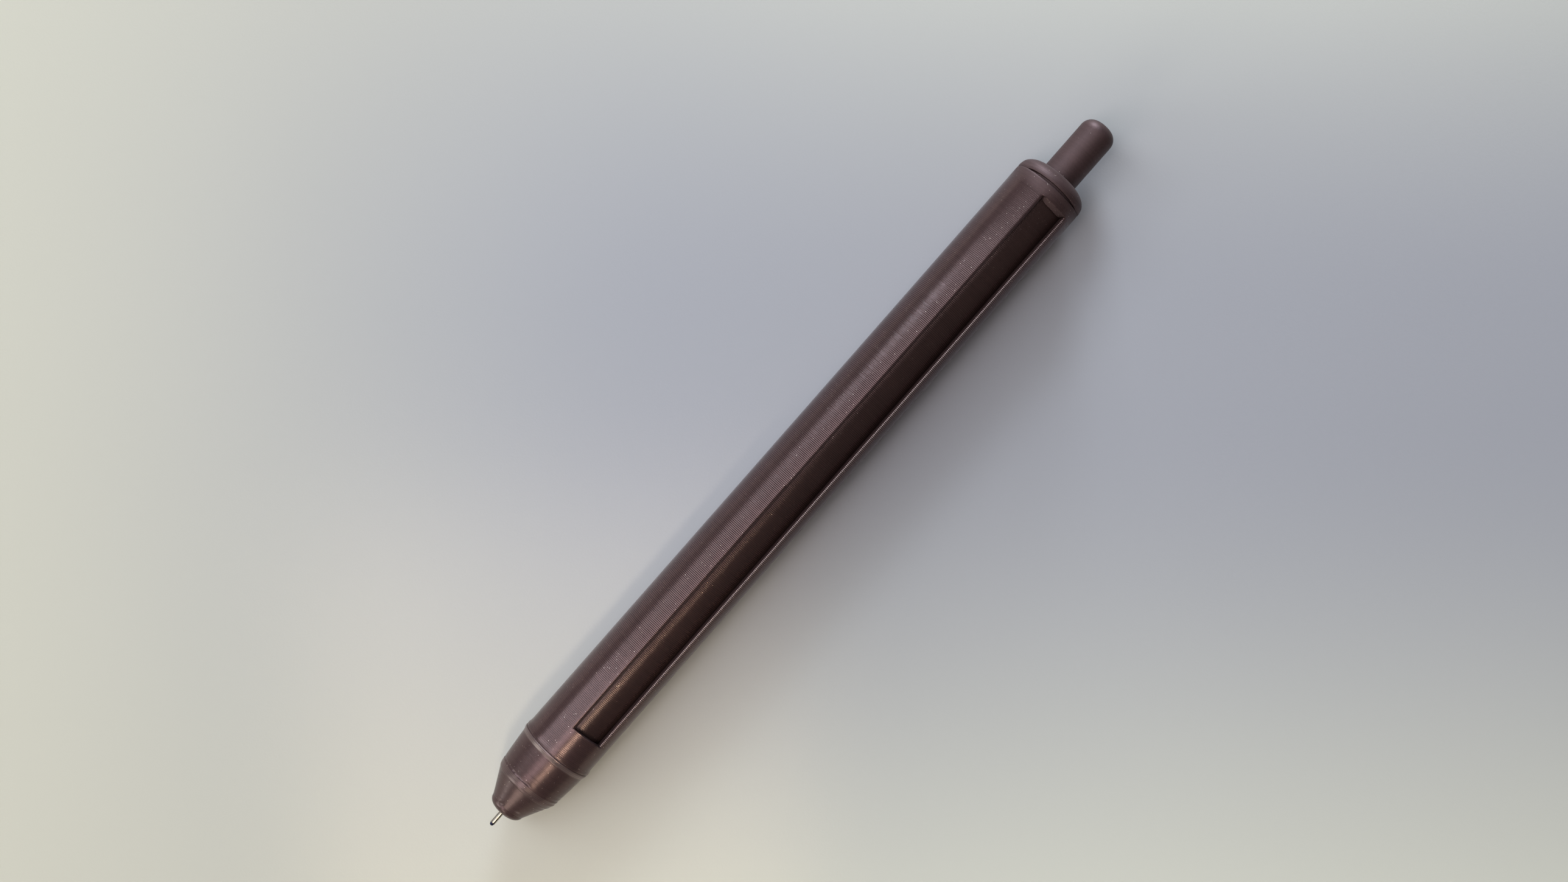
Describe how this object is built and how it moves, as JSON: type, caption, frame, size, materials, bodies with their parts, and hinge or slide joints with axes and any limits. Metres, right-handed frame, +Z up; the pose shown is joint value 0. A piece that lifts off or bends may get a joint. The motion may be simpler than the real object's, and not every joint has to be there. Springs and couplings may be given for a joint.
{
  "type": "push-button pen",
  "caption": "Printed push-button pen: round barrel with a long window onto an inner tube, coned nose, needle tip, sprung refill and click mechanism.",
  "frame": {"origin": "middle of the pen's length, on the surface that the pen lies on", "axes": "+X along the pen from the writing ball to the push button, +Z up; the window looks up and to -Y"},
  "size_m": [0.152, 0.013, 0.0131],
  "materials": {
    "printed_barrel": "printed PLA with metallic flake, layer lines",
    "printed_inner_tube": "printed PLA with metallic flake, layer lines",
    "printed_nose": "printed PLA with metallic flake",
    "printed_cap": "printed PLA with metallic flake",
    "printed_plunger": "printed PLA, smooth",
    "printed_inside": "printed PLA",
    "clear_tube": "clear polypropylene",
    "ink": "wet ink",
    "grease": "clear grease",
    "holder_plastic": "natural polypropylene",
    "tip_metal": "turned stainless steel",
    "needle_steel": "drawn stainless steel",
    "ball_carbide": "ground carbide, inked",
    "spring_wire": "drawn spring steel"
  },
  "bodies": {
    "case": {"outer_barrel": "printed_barrel", "inner_tube": "printed_inner_tube", "nose_cone": "printed_nose", "end_cap": "printed_cap", "cam_sleeve": "printed_inside", "return_spring": "spring_wire"},
    "button": {"plunger": "printed_plunger"},
    "refill": {"refill_plug": "printed_inside", "refill_tube": "clear_tube", "ink_column": "ink", "grease_follower": "grease", "tip_holder": "holder_plastic", "tip_cone": "tip_metal", "needle_tube": "needle_steel"},
    "ratchet": {"rotor": "printed_inside"},
    "ball": {"writing_ball": "ball_carbide"}
  },
  "joints": [
    {"name": "button_slide", "type": "slide", "parent": "case", "child": "button", "axis": [1, 0, 0], "range_m": [-0.0012, 0.005]},
    {"name": "refill_slide", "type": "slide", "parent": "case", "child": "refill", "axis": [1, 0, 0], "range_m": [-0.0012, 0.005], "deforming": ["return_spring"]},
    {"name": "rotor_turn", "type": "hinge", "parent": "refill", "child": "ratchet", "pos_m": [0.03902, 0, 0.00654], "axis": [1, 0, 0], "continuous": true},
    {"name": "ball_roll", "type": "hinge", "parent": "refill", "child": "ball", "pos_m": [-0.07573, 0, 0.00654], "axis": [0, 1, 0], "continuous": true}
  ],
  "couplings": [
    {"joint": "refill_slide", "follows": "button_slide", "ratio": 1}
  ]
}
